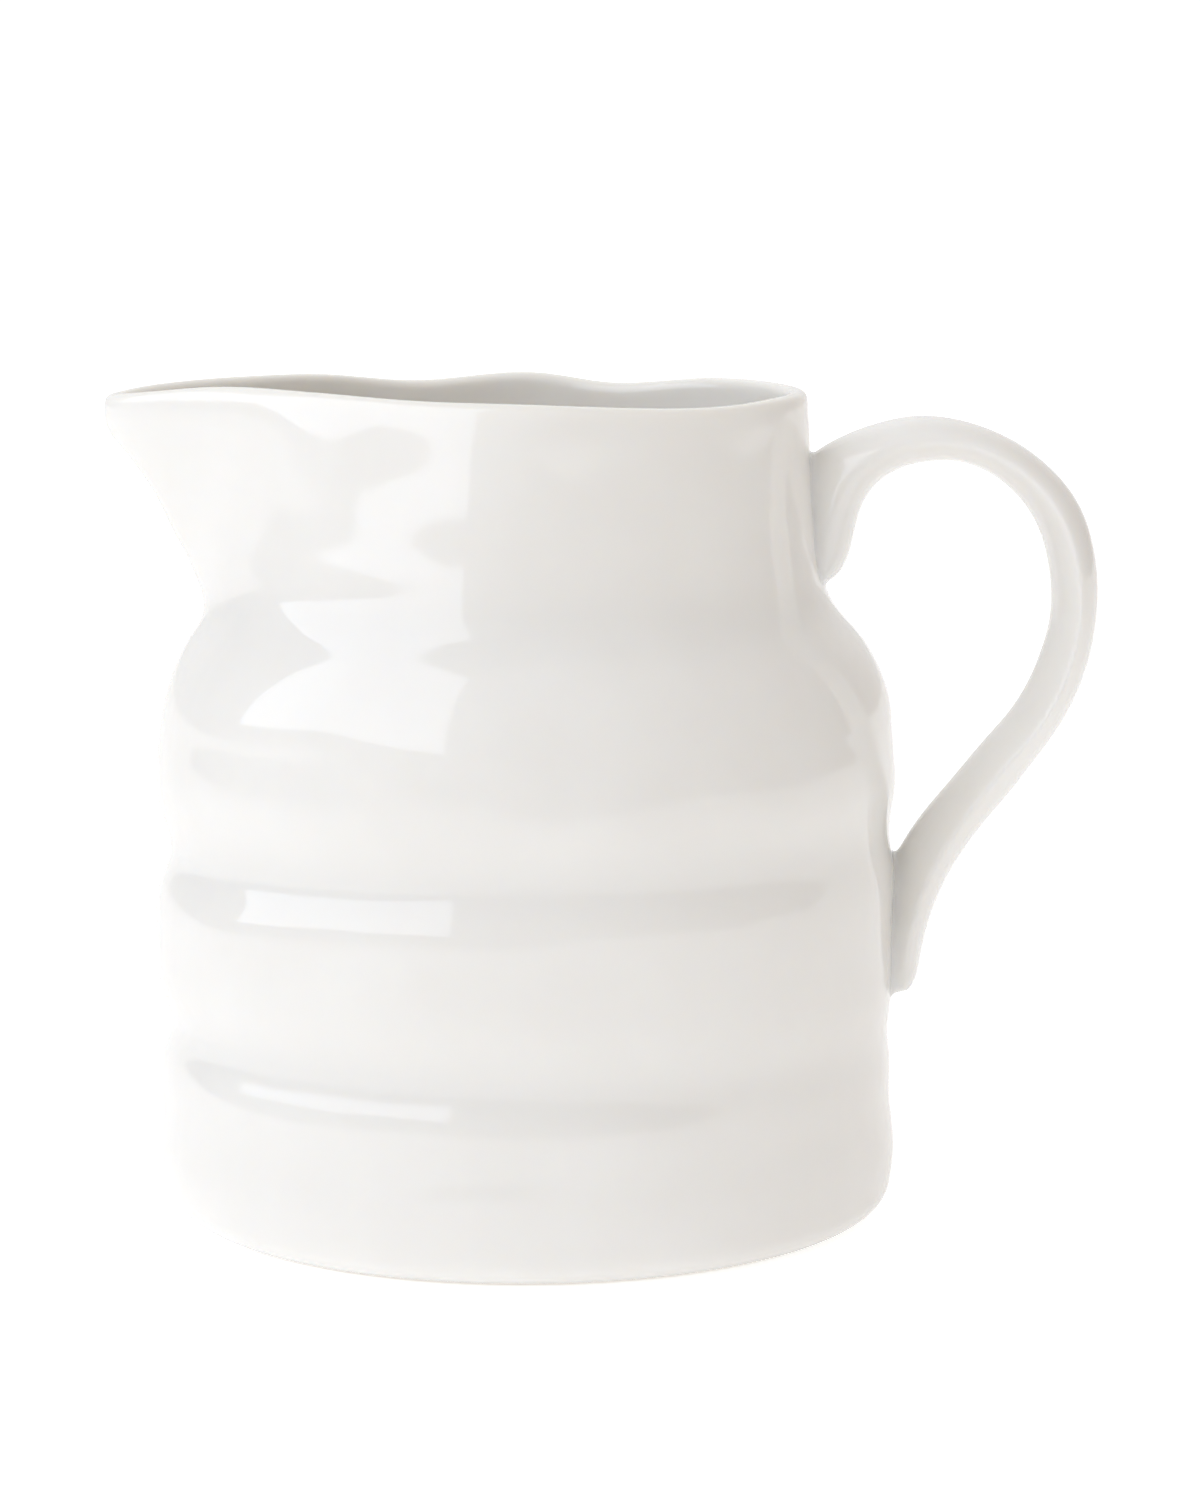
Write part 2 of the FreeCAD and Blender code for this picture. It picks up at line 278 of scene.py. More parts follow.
# %% Grooves and thumb marks
GROOVES = [
    {"height": 74.2, "depth": 2.0, "above": 6.8, "below": 6.2, "slant": 1.8, "at_handle": -0.45},
    {"height": 37.0, "depth": 1.8, "above": 6.4, "below": 5.9, "slant": -1.4, "at_handle": -0.6},
]
THUMB_MARKS = [
    {"direction": -133, "height": 149, "spread": 11, "rise": 9, "depth": -0.8},
    {"direction": -114, "height": 144, "spread": 8, "rise": 10, "depth": 0.5},
    {"direction": -96, "height": 143, "spread": 13, "rise": 11, "depth": -0.9},
    {"direction": -118, "height": 166, "spread": 24, "rise": 12, "depth": 1.0},
    {"direction": -83, "height": 156, "spread": 12, "rise": 8, "depth": -0.9},
    {"direction": -117, "height": 109, "spread": 9, "rise": 6, "depth": -0.6},
    {"direction": -84, "height": 108, "spread": 12, "rise": 8, "depth": 0.6},
    {"direction": -107, "height": 84, "spread": 7, "rise": 3, "depth": 0.25},
    {"direction": 118, "height": 144, "spread": 12, "rise": 8, "depth": 0.8},
    {"direction": 96, "height": 150, "spread": 14, "rise": 9, "depth": -0.6},
    {"direction": 180, "height": 0, "spread": 70, "rise": 7, "depth": 2.4},
]


def groove_depth(direction, height):
    depth = 0.0
    for groove in GROOVES:
        towards_handle = math.cos(math.radians(direction))
        middle = groove["height"] + groove["slant"] * towards_handle
        share = 1 + groove["at_handle"] * towards_handle
        width = groove["above"] if height > middle else groove["below"]
        depth += groove["depth"] * share * bump(middle, width, height)
    return depth


def thumb_depth(direction, height):
    depth = 0.0
    for mark in THUMB_MARKS:
        away = turn_between(direction, mark["direction"])
        up = bump(mark["height"], mark["rise"], height)
        depth += mark["depth"] * bump(0, mark["spread"], away) * up
    return depth


depths = [round(groove_depth(-90, groove["height"]), 1) for groove in GROOVES]
print("grooves:", depths, "mm deep in front, and", len(THUMB_MARKS), "marks of the thumb")

# %% [markdown]
# Even between the marks the wall isn't true. Throwing leaves low, wide waves, longer round the
# pot than up it, the pot leans a little, and the rim rises and dips. The waves are smooth noise
# at two sizes, each as (length round the pot, height, depth). The noise is read on a cylinder, so
# it has no seam, and it fades out at the foot, which stands on the bat. The lean and the rim's
# wave are smooth lines of their own.

# %% Throwing waves, lean and rim
WAVES = [(34.0, 12.0, 0.38), (14.0, 7.0, 0.10)]
WAVE_RADIUS = 70.0
WAVE_START = (4.0, 16.0)
LEAN = [(0.0, 0.0), (20.0, 0.2), (56.0, 0.2), (90.0, 0.6), (112.0, 0.6), (120.0, 0.0),
        (162.0, 0.0)]
RIM_WAVE = [(-160, 1.4), (-135, 1.1), (-110, 0.0), (-90, -0.4), (-52, -1.6), (-20, -0.4),
            (10, 0.2), (45, 0.7), (70, -0.8), (90, 1.3), (115, -0.2), (140, 1.6), (162, 1.5),
            (172, 0.6), (180, -0.9)]
RIM_WAVE_START = (136.0, 158.0)


def throwing_wave(direction, height):
    angle = math.radians(direction)
    total = 0.0
    for length, tall, depth in WAVES:
        round_pot = WAVE_RADIUS / length
        place = Vector((math.cos(angle) * round_pot, math.sin(angle) * round_pot, height / tall))
        total += depth * noise.noise(place)
    return total * ease(*WAVE_START, height)


def lean(direction, height):
    return smooth_line(LEAN, height) * math.cos(math.radians(direction))


def rim_lift(direction, height):
    return smooth_line(RIM_WAVE, direction, period=360) * ease(*RIM_WAVE_START, height)


lifts = [rim_lift(direction, RIM_HEIGHT) for direction in range(360)]
print("the rim runs from", round(min(lifts), 1), "to", round(max(lifts), 1), "mm off level")

# %% [markdown]
# The same functions say how thick the glaze will lie, because it runs into the hollows and off
# the lip. That number is kept at every point of the mesh, for the material to read. An attribute
# is a better place for it than a painted picture, because it needs no unwrapping.

# %% How thick the glaze will lie
GLAZE_EVEN = 0.5
GROOVE_POOL = 0.18
NECK_POOL = 0.25
NECK_HOLLOW = 121.0
NECK_HOLLOW_WIDTH = 5.0
# Over these heights the glaze thins off the lip, and the material paints the lip lighter there as
# painted light.
LIP_SHED_AND_PAINTED_LIGHT = (RIM_HEIGHT - 2.5, RIM_HEIGHT - 0.3)


def glaze_pool(direction, height):
    """How thick the glaze lies, from 0 on the lip, over 0.5 on the wall, to more in a hollow."""
    in_neck = bump(NECK_HOLLOW, NECK_HOLLOW_WIDTH, height)
    pooled = GROOVE_POOL * groove_depth(direction, height) + NECK_POOL * in_neck
    return GLAZE_EVEN + pooled - GLAZE_EVEN * ease(*LIP_SHED_AND_PAINTED_LIGHT, height)


print("glaze on the wall, in a groove and on the lip:",
      [round(glaze_pool(-90, height), 2) for height in (100, GROOVES[0]["height"], RIM_HEIGHT)])

# %% [markdown]
# Now every point of the pot is moved by the sum of its marks. The inside moves with the outside,
# so the wall keeps its thickness. Only the flat of the floor and the middle of the underside stay
# where they are. One level of subdivision then rounds what is left of the rings.

# %% Shape the pot by hand
INSIDE_FLOOR_TOP = 30.0
INSIDE_CORNER = (45.0, 60.0)


def shape_by_hand(pot):
    glaze_depth = pot.data.attributes.new("glaze_depth", "FLOAT", "POINT")
    for vertex in pot.data.vertices:
        x, y, height = vertex.co / MM
        radius = math.hypot(x, y)
        direction = math.degrees(math.atan2(y, x))
        glaze_depth.data[vertex.index].value = glaze_pool(direction, height)
        on_wall = ease(*INSIDE_CORNER, radius) if height < INSIDE_FLOOR_TOP else 1.0
        moved = spout_pull(direction, height) - groove_depth(direction, height)
        moved += throwing_wave(direction, height) - thumb_depth(direction, height)
        moved += lean(direction, height)
        radius += moved * on_wall
        lift = rim_lift(direction, height)
        angle = math.radians(direction)
        vertex.co = metres(radius * math.cos(angle), radius * math.sin(angle), height + lift)


shape_by_hand(vessel)
finish_with(vessel, "SUBSURF", levels=1, render_levels=1)
print("pot:", len(vessel.data.polygons), "faces,",
      [round(size / MM, 1) for size in vessel.dimensions], "mm")

# %% [markdown]
# The handle is a strap pulled from a lump of wet clay. It is bent over and pressed on the neck,
# and its tail is wiped down the belly. Its line is the one the engineering model has: a short
# straight run and six arcs, each (radius, turn in degrees) and tangent to the last. A smooth
# curve through a few points would look alike, but then the strap and its solid would drift apart.

# %% The line of the strap
STRAP_START = (56.5, 125.5)
STRAP_HEADING = 73.6
STRAP_RUN = 13.0
STRAP_ARCS = [(19.1, -67.9), (28.0, -37.6), (28.2, -40.7), (40.7, -59.6), (142.8, 10.0),
              (50.4, 34.2)]
STRAP_STEP = 2.4


def in_plane(x, z):
    """A point of the strap's line, in metres, in the pot's middle plane."""
    return metres(x, 0, z)


def strap_line(spacing):
    """Places along the middle of the strap: (x, z, heading in radians, distance from its start)."""
    heading = math.radians(STRAP_HEADING)
    x, z = STRAP_START
    travelled = 0.0
    line = [(x, z, heading, travelled)]
    for radius, turn in [(None, 0.0)] + STRAP_ARCS:
        length = STRAP_RUN if radius is None else radius * abs(math.radians(turn))
        steps = max(2, round(length / spacing))
        for _ in range(steps):
            heading += math.radians(turn) / steps / 2
            x += length / steps * math.cos(heading)
            z += length / steps * math.sin(heading)
            heading += math.radians(turn) / steps / 2
            travelled += length / steps
            line.append((x, z, heading, travelled))
    return line


print("strap's line:", round(strap_line(STRAP_STEP)[-1][3]), "mm long")

# %% [markdown]
# To pull the strap along that line, an oval face is extruded along the straight run, and
# Blender's spin then turns it round the centre of each arc in order. Spin is made for this: it
# sweeps the selected face round a centre and keeps it square to its path. The strap is even at
# this stage, one flat oval from end to end.

# %% Pull the strap
STRAP_WIDTH = 21.0
STRAP_RING = 32


def pull_strap(name):
    """An even oval strap along the whole line, 2 mm thick; the next step gives it its depth."""
    deselect_all()
    heading = math.radians(STRAP_HEADING)
    x, z = STRAP_START
    bpy.ops.mesh.primitive_circle_add(vertices=STRAP_RING, radius=metres(1), fill_type="NGON",
                                      location=in_plane(x, z),
                                      rotation=(0, math.pi / 2 - heading, 0))
    strap = bpy.context.object
    strap.scale = (1, STRAP_WIDTH / 2, 1)
    strap.name = strap.data.name = name
    bpy.ops.object.transform_apply()
    bpy.ops.object.mode_set(mode="EDIT")
    bpy.ops.mesh.select_mode(type="FACE")
    bpy.ops.mesh.select_all(action="SELECT")
    run_steps = round(STRAP_RUN / STRAP_STEP)
    step = Vector((math.cos(heading), 0, math.sin(heading))) * STRAP_RUN / run_steps
    for _ in range(run_steps):
        bpy.ops.mesh.extrude_region_move(TRANSFORM_OT_translate={"value": step * MM})
    x, z = x + step.x * run_steps, z + step.z * run_steps
    for radius, turn in STRAP_ARCS:
        angle = math.radians(turn)
        side = math.copysign(radius, turn)
        middle_x, middle_z = x - side * math.sin(heading), z + side * math.cos(heading)
        steps = max(3, round(radius * abs(angle) / STRAP_STEP))
        bpy.ops.mesh.spin(steps=steps, angle=angle, center=in_plane(middle_x, middle_z),
                          axis=(0, 1, 0), use_auto_merge=False, use_normal_flip=False)
        heading += angle
        x, z = middle_x + side * math.sin(heading), middle_z - side * math.cos(heading)
    bpy.ops.mesh.select_all(action="SELECT")
    bpy.ops.mesh.normals_make_consistent(inside=False)
    bpy.ops.object.mode_set(mode="OBJECT")
    return strap


handle = pull_strap("strap_handle")
print("strap:", len(handle.data.polygons), "faces")

# %% [markdown]
# A pulled strap is never even. It is thick where it leaves the neck, thinnest over the knuckle,
# and thick again on the long run down, and it spreads sideways where the thumb wipes it on. Each
# point of the even strap is looked up on the line, and its depth and width there are set from a
# few measures, each listed as (distance along the strap, millimetres). The edge is a power: at 1
# the section is an ellipse, and at 2 its two faces meet in a ridge, as they do where the strap
# was pulled hardest. A point that would come out inside the pot stays in the wall.

# %% Thin and thicken the strap
STRAP_EDGE = [(0, 1.2), (40, 1.25), (75, 1.5), (110, 1.9), (150, 1.7), (171.4, 1.2)]
OUTER_DEPTH = [(0, 4.5), (14, 8.6), (20, 8.2), (24, 6.5), (30, 5.0), (38, 4.5), (48, 4.0),
               (58, 4.2), (68, 4.8), (80, 4.6), (92, 4.2), (112, 4.4), (125, 5.2), (135, 4.7),
               (150, 4.2), (162, 3.7), (169, 3.0), (171.4, 1.6)]
INNER_DEPTH = [(0, 4.4), (4, 5.7), (12, 5.4), (20, 5.0), (36, 4.5), (46, 3.7), (60, 3.9),
               (76, 4.5), (90, 4.8), (100, 5.3), (128, 5.3), (140, 6.2), (148, 6.6), (160, 6.4),
               (171.4, 5.5)]
HALF_WIDTH = [(0, 12.0), (12, 11.6), (30, 10.6), (60, 10.4), (110, 10.4), (140, 11.2),
              (160, 13.0), (171.4, 12.0)]
DEEPEST_IN_WALL = 0.6
LOOKUP_STEP = STRAP_STEP / 4


def kept_in_wall(place):
    """A point that would come out inside the pot is left in the wall, past its middle."""
    radius = math.hypot(place.x, place.y)
    deepest = smooth_line(WALL_STATIONS, place.z) - WALL * DEEPEST_IN_WALL
    if radius >= deepest:
        return place
    return Vector((place.x * deepest / radius, place.y * deepest / radius, place.z))


def work_strap(strap):
    line = strap_line(LOOKUP_STEP)
    for vertex in strap.data.vertices:
        x, y, z = vertex.co / MM
        near = min(line, key=lambda point: (point[0] - x) ** 2 + (point[1] - z) ** 2)
        across = Vector((-math.sin(near[2]), 0, math.cos(near[2])))
        rise = (Vector((x, 0, z)) - Vector((near[0], 0, near[1]))).dot(across)
        depth = smooth_line(OUTER_DEPTH if rise > 0 else INNER_DEPTH, near[3])
        rise = math.copysign(min(abs(rise), 1.0) ** smooth_line(STRAP_EDGE, near[3]), rise) * depth
        side = y / (STRAP_WIDTH / 2) * smooth_line(HALF_WIDTH, near[3])
        place = Vector((near[0], 0, near[1])) + across * rise + Vector((0, side, 0))
        vertex.co = kept_in_wall(place) * MM


work_strap(handle)
print("strap:", [round(size / MM, 1) for size in handle.dimensions], "mm")

# %% [markdown]
# Slip fills the corner between strap and wall, and the wet brush leaves a soft fillet there. For
# that, a thin pad is laid against the wall under each end of the strap. It is a flat grid, thrown
# on to the pot by Shrinkwrap and sunk a quarter of a millimetre into the clay, so that it is out
# of sight where there is no fillet. Its thickness goes inwards.

# %% Lay a pad of slip under each end
PAD_SINK = 0.25
PAD_DEPTH = 1.6
PADS = [{"height": 136.0, "width": 40.0, "tall": 36.0},
        {"height": 57.0, "width": 46.0, "tall": 44.0}]
PAD_START = 90.0
PAD_CELLS = 60


def lay_pad(pad):
    """A patch that follows the pot's outside a little below its surface."""
    deselect_all()
    bpy.ops.mesh.primitive_grid_add(x_subdivisions=PAD_CELLS, y_subdivisions=PAD_CELLS, size=1,
                                    location=metres(PAD_START, 0, pad["height"]),
                                    rotation=(0, math.pi / 2, 0))
    patch = bpy.context.object
    patch.scale = (pad["tall"] * MM, pad["width"] * MM, 1)
    bpy.ops.object.transform_apply()
    finish_with(patch, "SHRINKWRAP", target=vessel, wrap_method="PROJECT", use_project_x=True,
                use_negative_direction=True, use_positive_direction=False)
    for vertex in patch.data.vertices:
        outward = Vector((vertex.co.x, vertex.co.y, 0)).normalized()
        vertex.co -= outward * metres(PAD_SINK)
    finish_with(patch, "SOLIDIFY", thickness=metres(PAD_DEPTH), offset=-1)
    return patch


pads = [lay_pad(pad) for pad in PADS]
print("pads:", [len(pad.data.polygons) for pad in pads], "faces")

# %% [markdown]
# Strap and pads are joined and remeshed into one skin of small even faces, and the corner is
# smoothed until it is as round as a wiped joint. Only the fillet comes out of the wall: the rest
# of each pad stays inside the clay. The smoothing is strong near the wall and light along the
# strap, so the strap keeps its ridge. Glaze pools in the crease, so it lies thicker there.

# %% Lute the strap to the pot
SKIN_FACE = 0.6
SMOOTHING = 0.5
STRAP_PASSES = 5
JOINT_PASSES = 40
JOINT_REACH = (1.5, 5.5)
CREASE_REACH = (0.5, 4.0)
CREASE_POOL = 0.4


def off_wall(vertex):
    """How far a point is from the outside of the pot, in millimetres."""
    x, y, z = vertex.co / MM
    return math.hypot(x, y) - smooth_line(WALL_STATIONS, z)


def weigh_near_joints(piece, name):
    """A vertex group that is strong at the two joints and fades along the strap."""
    group = piece.vertex_groups.new(name=name)
    for vertex in piece.data.vertices:
        group.add([vertex.index], 1 - ease(*JOINT_REACH, off_wall(vertex)), "REPLACE")


def lute(strap, patches):
    work_on(strap)
    for patch in patches:
        patch.select_set(True)
    bpy.ops.object.join()
    finish_with(strap, "REMESH", mode="VOXEL", voxel_size=metres(SKIN_FACE))
    weigh_near_joints(strap, "joint")
    finish_with(strap, "SMOOTH", factor=SMOOTHING, iterations=STRAP_PASSES)
    finish_with(strap, "SMOOTH", factor=SMOOTHING, iterations=JOINT_PASSES, vertex_group="joint")
    glaze_depth = strap.data.attributes.new("glaze_depth", "FLOAT", "POINT")
    for vertex in strap.data.vertices:
        in_crease = 1 - ease(*CREASE_REACH, off_wall(vertex))
        glaze_depth.data[vertex.index].value = GLAZE_EVEN + CREASE_POOL * in_crease


lute(handle, pads)
print("handle:", len(handle.data.polygons), "faces")
for piece in (vessel, handle):
    work_on(piece)
    bpy.ops.object.shade_smooth()

# %% [markdown]
# There are only two materials: glaze, and the bare clay that it leaves free under the foot.
# Colours are written as the sRGB codes that a designer would read off a swatch, and turned to
# linear light here. Patterns are measured in millimetres on the object itself, so they don't
# stretch or slide. A node is added by one function, which sets its properties and fills or links
# its inputs.

# %% Colours and nodes
def linear(code):
    """An sRGB hex colour as the linear colour that Blender uses, with alpha."""
    channels = []
    for place in (1, 3, 5):
        value = int(code[place:place + 2], 16) / 255
        channels.append(value / 12.92 if value <= 0.04045 else ((value + 0.055) / 1.055) ** 2.4)
    return (*channels, 1.0)


def add_node(material, kind, settings=None, inputs=None):
    """Add one node, set its properties, and set or link its inputs."""
    node = material.node_tree.nodes.new(kind)
    for name, value in (settings or {}).items():
        setattr(node, name, value)
    for name, value in (inputs or {}).items():
        if isinstance(value, bpy.types.NodeSocket):
            material.node_tree.links.new(value, node.inputs[name])
        else:
            node.inputs[name].default_value = value
    return node


def new_material(name):
    material = bpy.data.materials.new(name)
    material.use_nodes = True
    return material, material.node_tree.nodes["Principled BSDF"]


def per_mm(size):
    """The scale of a pattern whose features are this many millimetres wide."""
    return 1 / (size * MM)


def mixed_colour(material, share, first, second):
    """A colour between two, by a share from 0 to 1."""
    mix = add_node(material, "ShaderNodeMix", {"data_type": "RGBA"},
                   {0: share, 6: first, 7: second})
    return mix.outputs[2]


print("middle grey in linear light:", round(linear("#808080")[0], 3))

# %% [markdown]
# Glaze is a layer of glass, a third of a millimetre thick, that tin oxide turns milky white. It
# is very smooth, so it mirrors the lamps, but it never lies quite flat: it keeps slow waves from
# the way it ran off after the dip, and a fine orange peel where its bubbles closed. Its white
# drifts a little in soft clouds and is greyer where it pools in the grooves and corners. On the
# lip, where it is thin, it is warmer. It is also painted lighter there, as painted light that
# offsets the shade on the lip. Light also soaks a few millimetres into it and the clay, which
# softens every shadow. Its IOR is about 1.5.

# %% White glaze
GLAZE_CLOUD = 26.0
GLAZE_WAVE = 11.0
GLAZE_PEEL = 1.8
WAVE_DEPTH = 0.035
PEEL_DEPTH = 0.004
GLAZE_ROUGHNESS = (0.05, 0.09)
SOAK_DEPTH = 3.0
SOAK_SHARE = 0.5
SOAK_BY_COLOUR = (1.0, 0.9, 0.75)
GLAZE_IOR = 1.5


def make_glaze():
    material, shader = new_material("white tin glaze on stoneware")
    place = add_node(material, "ShaderNodeTexCoord").outputs["Object"]
    clouds = add_node(material, "ShaderNodeTexNoise", None,
                      {"Vector": place, "Scale": per_mm(GLAZE_CLOUD), "Detail": 3.0})
    depth = add_node(material, "ShaderNodeAttribute", {"attribute_name": "glaze_depth"})
    white = mixed_colour(material, clouds.outputs["Fac"], linear("#EFEDE9"), linear("#F7F6F3"))
    thin = add_node(material, "ShaderNodeMapRange", None,
                    {"Value": depth.outputs["Fac"], "From Min": 0.0, "From Max": GLAZE_EVEN,
                     "To Min": 1.0, "To Max": 0.0})
    # The lip, where the glaze is thin, is warmer and also painted lighter: painted light that
    # offsets the shade on the lip.
    lip_warmth_and_painted_light = mixed_colour(material, thin.outputs["Result"], white, linear("#F8F5EF"))
    pool = add_node(material, "ShaderNodeMapRange", None,
                    {"Value": depth.outputs["Fac"], "From Min": GLAZE_EVEN, "From Max": 1.0})
    colour = mixed_colour(material, pool.outputs["Result"], lip_warmth_and_painted_light, linear("#EFEEEB"))
    waves = add_node(material, "ShaderNodeTexNoise", None,
                     {"Vector": place, "Scale": per_mm(GLAZE_WAVE), "Detail": 1.0})
    peel = add_node(material, "ShaderNodeTexNoise", None,
                    {"Vector": place, "Scale": per_mm(GLAZE_PEEL), "Detail": 1.0})
    wavy = add_node(material, "ShaderNodeBump", None,
                    {"Height": waves.outputs["Fac"], "Distance": metres(WAVE_DEPTH)})
    peeled = add_node(material, "ShaderNodeBump", None,
                      {"Height": peel.outputs["Fac"], "Distance": metres(PEEL_DEPTH),
                       "Normal": wavy.outputs["Normal"]})
    rough = add_node(material, "ShaderNodeMapRange", None,
                     {"Value": clouds.outputs["Fac"], "From Min": 0.3, "From Max": 0.7,
                      "To Min": GLAZE_ROUGHNESS[0], "To Max": GLAZE_ROUGHNESS[1]})
    material.node_tree.links.new(colour, shader.inputs["Base Color"])
    material.node_tree.links.new(rough.outputs["Result"], shader.inputs["Roughness"])
    material.node_tree.links.new(peeled.outputs["Normal"], shader.inputs["Normal"])
    shader.inputs["IOR"].default_value = GLAZE_IOR
    shader.inputs["Subsurface Weight"].default_value = SOAK_SHARE
    shader.inputs["Subsurface Radius"].default_value = SOAK_BY_COLOUR
    shader.inputs["Subsurface Scale"].default_value = metres(SOAK_DEPTH)
    return material


glaze = make_glaze()
print("material:", glaze.name)

# %% [markdown]
# The foot ring is wiped clean of glaze before firing, or it would stick to the kiln shelf. Bare
# fired stoneware is a dry, sandy beige with a fine grit, and quite dull. One noise with the
# grit's size gives both its colour and its roughness to the touch.

# %% Bare clay of the foot ring
GRIT = 0.6
GRIT_DEPTH = 0.05
CLAY_ROUGHNESS = 0.85


def make_bare_clay():
    material, shader = new_material("bare fired stoneware")
    place = add_node(material, "ShaderNodeTexCoord").outputs["Object"]
    grit = add_node(material, "ShaderNodeTexNoise", None,
                    {"Vector": place, "Scale": per_mm(GRIT), "Detail": 4.0, "Roughness": 0.7})
    colour = mixed_colour(material, grit.outputs["Fac"], linear("#C9BBA3"), linear("#E2D8C6"))
    bump_node = add_node(material, "ShaderNodeBump", None,
                         {"Height": grit.outputs["Fac"], "Distance": metres(GRIT_DEPTH)})
    material.node_tree.links.new(colour, shader.inputs["Base Color"])
    material.node_tree.links.new(bump_node.outputs["Normal"], shader.inputs["Normal"])
    shader.inputs["Roughness"].default_value = CLAY_ROUGHNESS
    return material


bare_clay = make_bare_clay()
print("material:", bare_clay.name)

# %% [markdown]
# The glaze goes on everything, and only the flat of the foot ring is wiped. Then each piece is
# tied to the engineering model: it rides on the one body there is, the solids that it covers are
# hidden, and it takes its finish from a slot. The fillets of slip are part of the handle's skin, so
# their solids are hidden along with the handle's.

# %% Dress the pieces and tie them to the model
WIPED_HEIGHT = 0.35
WIPED_RADIUS = 57.5
BARE_SLOT = 1

vessel.data.materials.append(glaze)
vessel.data.materials.append(bare_clay)
handle.data.materials.append(glaze)
for face in vessel.data.polygons:
    off_axis = math.hypot(face.center.x, face.center.y)
    if face.center.z < metres(WIPED_HEIGHT) and off_axis > metres(WIPED_RADIUS):
        face.material_index = BARE_SLOT

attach(vessel, "root")
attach(handle, "root")
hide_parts("vessel_body")
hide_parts("handle", "upper_slip_joint", "lower_slip_joint")
bare_faces = sum(face.material_index == BARE_SLOT for face in vessel.data.polygons)
print("bare clay on", bare_faces, "faces of the foot ring")

# %% [markdown]
# The pitcher stands on a wide sheet of white paper, so wide that its end is out of sight and the
# floor and the background are one white. Real paper is lit until it is just short of glaring.
# Here it also glows a little by itself: more for the camera, which makes it plain white, and less
# for the pot, which gets the soft light that comes up from such a floor.

# %% White paper floor
FLOOR_SIZE = 60.0
PAPER_ROUGHNESS = 0.8
PAPER_GLOW = 0.31
PAPER_SEEN = 0.5
WHITE = (1.0, 1.0, 1.0, 1.0)


def lay_paper():
    deselect_all()
    bpy.ops.mesh.primitive_plane_add(size=FLOOR_SIZE)
    sheet = bpy.context.object
    sheet.name = "floor"
    paper, shader = new_material("white paper")
    shader.inputs["Base Color"].default_value = linear("#F4F4F4")
    shader.inputs["Roughness"].default_value = PAPER_ROUGHNESS
    shader.inputs["Emission Color"].default_value = WHITE
    ray = add_node(paper, "ShaderNodeLightPath")
    glow = add_node(paper, "ShaderNodeMapRange", None,
                    {"Value": ray.outputs["Is Camera Ray"],
                     "To Min": PAPER_GLOW, "To Max": PAPER_SEEN})
    paper.node_tree.links.new(glow.outputs["Result"], shader.inputs["Emission Strength"])
    sheet.data.materials.append(paper)
    return sheet


floor = lay_paper()
print("floor:", floor.data.materials[0].name, FLOOR_SIZE, "m across")

# %% [markdown]
# The rest of the studio is soft light from all round: a plain room, a brighter backdrop behind
# the pot, a light ceiling, and less light from the handle's side, where the room is a shade
# warmer. That gives the pot its quiet change from light on the spout's side to grey on the
# handle's side. It is all in the world's shader, by direction, as the two ends of a soft step in
# X, Y or Z, and the camera sees only white.

# %% Light of the room
ROOM_LIGHT = 0.42
BACKDROP_LIGHT = 0.85
SHADE_SIDE = 0.19
CEILING_LIGHT = 0.46
SEEN_LIGHT = 1.1
BACKDROP_EDGE = (0.5, 0.95)
SHADE_EDGE = (0.2, 0.9)
CEILING_EDGE = (0.05, 0.9)


def soft_step(world, value, edge, low, high):
    """A number that goes softly from low to high as value crosses the edge."""
    step = add_node(world, "ShaderNodeMapRange", {"interpolation_type": "SMOOTHSTEP"},
                    {"Value": value, "From Min": edge[0], "From Max": edge[1],
                     "To Min": low, "To Max": high})
    return step.outputs["Result"]


def make_room(name):
    world = bpy.data.worlds.new(name)
    world.use_nodes = True
    room = world.node_tree.nodes["Background"]
    direction = add_node(world, "ShaderNodeTexCoord")
    parts = add_node(world, "ShaderNodeSeparateXYZ", None,
                     {"Vector": direction.outputs["Generated"]})
    backdrop = soft_step(world, parts.outputs["Y"], BACKDROP_EDGE, ROOM_LIGHT, BACKDROP_LIGHT)
    shade = soft_step(world, parts.outputs["X"], SHADE_EDGE, 0.0, 1.0)
    ceiling = soft_step(world, parts.outputs["Z"], CEILING_EDGE, 0.0, CEILING_LIGHT)
    darker = add_node(world, "ShaderNodeMath", {"operation": "MULTIPLY"}, {0: shade, 1: SHADE_SIDE})
    around_pot = add_node(world, "ShaderNodeMath", {"operation": "SUBTRACT"},
                          {0: backdrop, 1: darker.outputs["Value"]})
    strength = add_node(world, "ShaderNodeMath", {"operation": "ADD"},
                        {0: around_pot.outputs["Value"], 1: ceiling})
    tint = mixed_colour(world, shade, linear("#FFFEFD"), linear("#FFF1E6"))
    world.node_tree.links.new(strength.outputs["Value"], room.inputs["Strength"])
    world.node_tree.links.new(tint, room.inputs["Color"])
    seen = add_node(world, "ShaderNodeBackground", None, {"Color": WHITE, "Strength": SEEN_LIGHT})
    path = add_node(world, "ShaderNodeLightPath")
    mix = add_node(world, "ShaderNodeMixShader", None,
                   {0: path.outputs["Is Camera Ray"], 1: room.outputs[0], 2: seen.outputs[0]})
    output = world.node_tree.nodes["World Output"]
    world.node_tree.links.new(mix.outputs[0], output.inputs["Surface"])
    return world


bpy.context.scene.world = make_room("white studio")
bpy.context.scene.view_settings.view_transform = "Standard"
print("room:", bpy.context.scene.world.name)

# %% [markdown]
# The key light is a tall soft window on the spout's side. A glossy pot shows a window twice: as
# soft shading over the whole of that side, and as a hard-edged reflection on the shoulder, the
# neck and the lower flanks of the grooves. Two lights share the work, so that each can be set
# alone: one that only shades, and, just in front of it, one that is only mirrored. Their sizes
# and places are in metres, and the brightness is per square metre, so a larger window is no
# dimmer.

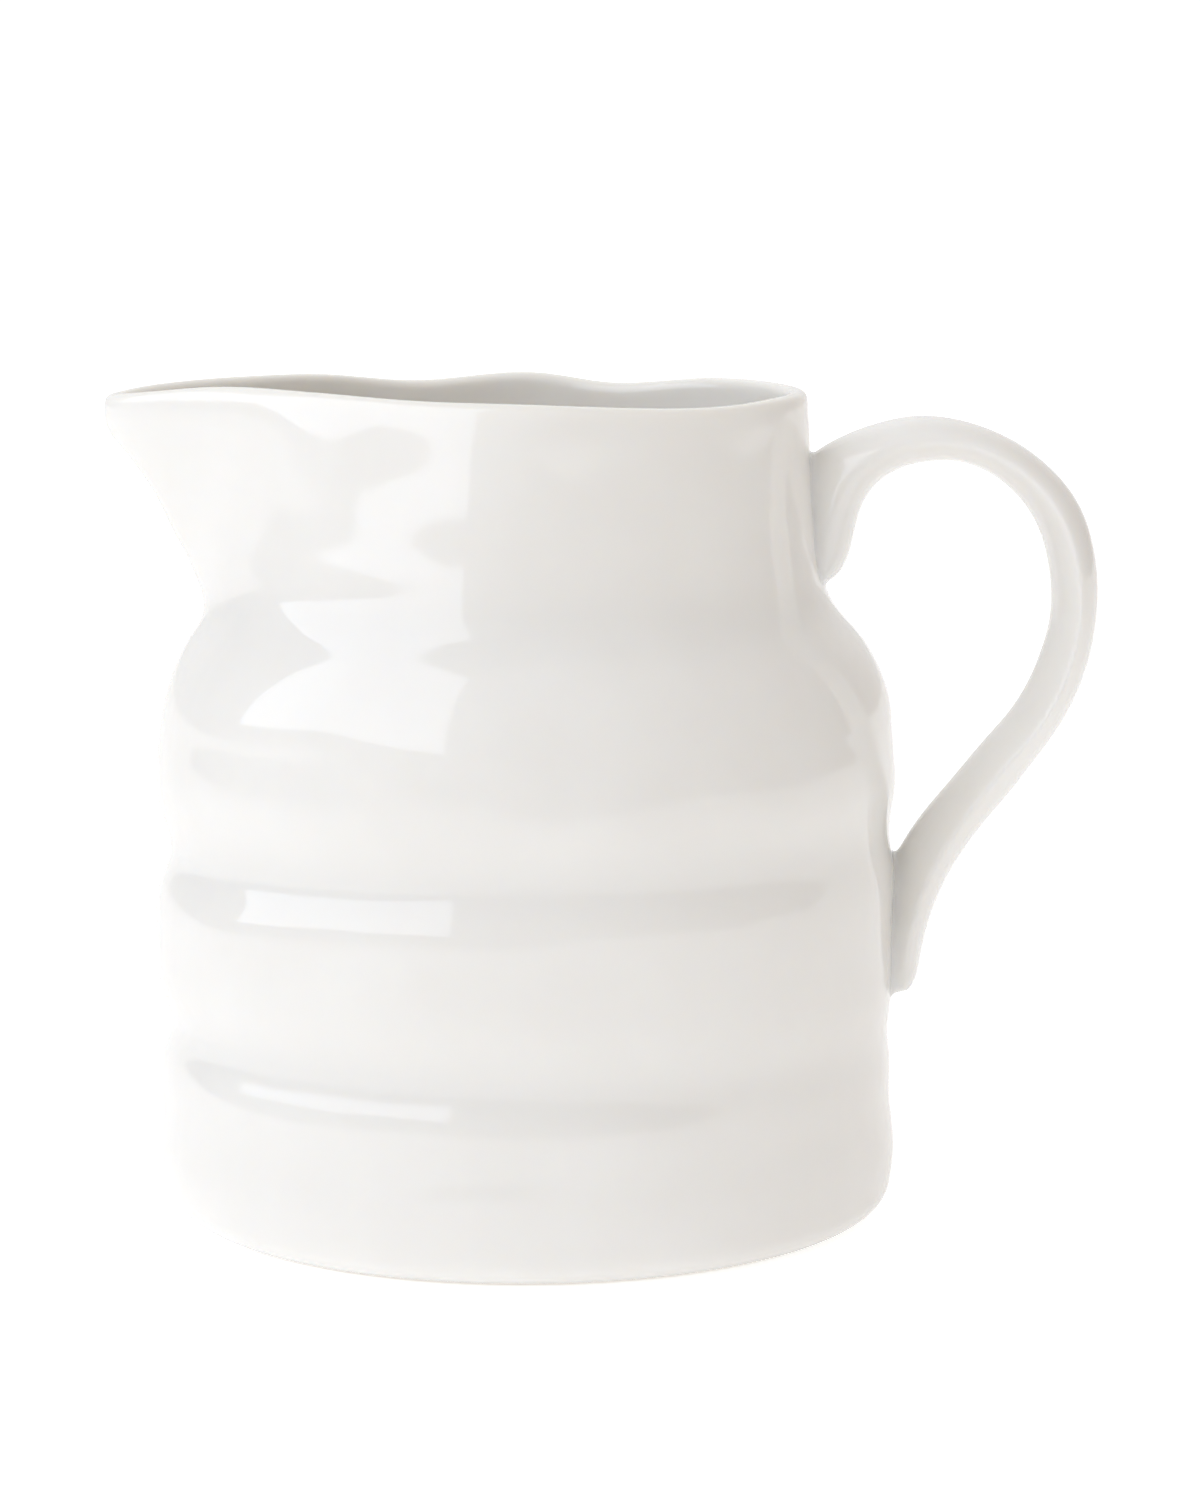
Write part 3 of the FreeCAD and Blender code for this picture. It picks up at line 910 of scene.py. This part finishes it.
# %% Window light and its reflection
WINDOW_TINT = "#EBF2FF"
WINDOW_AZIMUTH = -60.0


def face_middle(thing, azimuth, distance, height):
    """Stand a thing at this azimuth, to the right of the camera's side, facing the pot's axis."""
    turn = math.radians(azimuth)
    thing.location = (math.sin(turn) * distance, -math.cos(turn) * distance, height)
    thing.rotation_euler = (math.pi / 2, 0, turn)


def add_softbox(name, distance, width, low, high, brightness, shine_only):
    """A standing softbox that faces the pot's axis, from one height to another."""
    data = bpy.data.lights.new(name, "AREA")
    data.shape = "RECTANGLE"
    data.size, data.size_y = width, high - low
    data.energy = brightness * math.pi * width * (high - low)
    data.color = linear(WINDOW_TINT)[:3]
    lamp = bpy.data.objects.new(name, data)
    bpy.context.scene.collection.objects.link(lamp)
    face_middle(lamp, WINDOW_AZIMUTH, distance, (low + high) / 2)
    lamp.visible_glossy = shine_only
    lamp.visible_diffuse = not shine_only
    return lamp


window_light = add_softbox("window_light", distance=1.2, width=1.9, low=0.3, high=2.9,
                           brightness=0.84, shine_only=False)
window_shine = add_softbox("window_shine", distance=1.15, width=1.8, low=0.28, high=2.25,
                           brightness=2.1, shine_only=True)
print("window:", [round(lamp.data.energy, 1) for lamp in (window_light, window_shine)], "W")

# %% [markdown]
# The camera has a long lens and stands a little above the rim, looking slightly down. So the lip
# opens as a thin ellipse and the sides stay almost upright. It is a touch to the handle's side of
# the middle.

# %% Camera
CAMERA_PLACE = (15.0, -797.0, 195.8)
CAMERA_TILT = 7.55
CAMERA_LENS = 97.8
CAMERA_SENSOR = 36.0
NEAREST_SEEN = 10.0


def add_camera():
    data = bpy.data.cameras.new("camera")
    data.sensor_width = CAMERA_SENSOR
    data.lens = CAMERA_LENS
    data.clip_start = metres(NEAREST_SEEN)
    camera = bpy.data.objects.new("camera", data)
    bpy.context.scene.collection.objects.link(camera)
    camera.location = metres(*CAMERA_PLACE)
    camera.rotation_euler = (math.radians(90 - CAMERA_TILT), 0, 0)
    return camera


bpy.context.scene.camera = add_camera()
print("camera:", [round(value, 3) for value in bpy.context.scene.camera.location], "m")
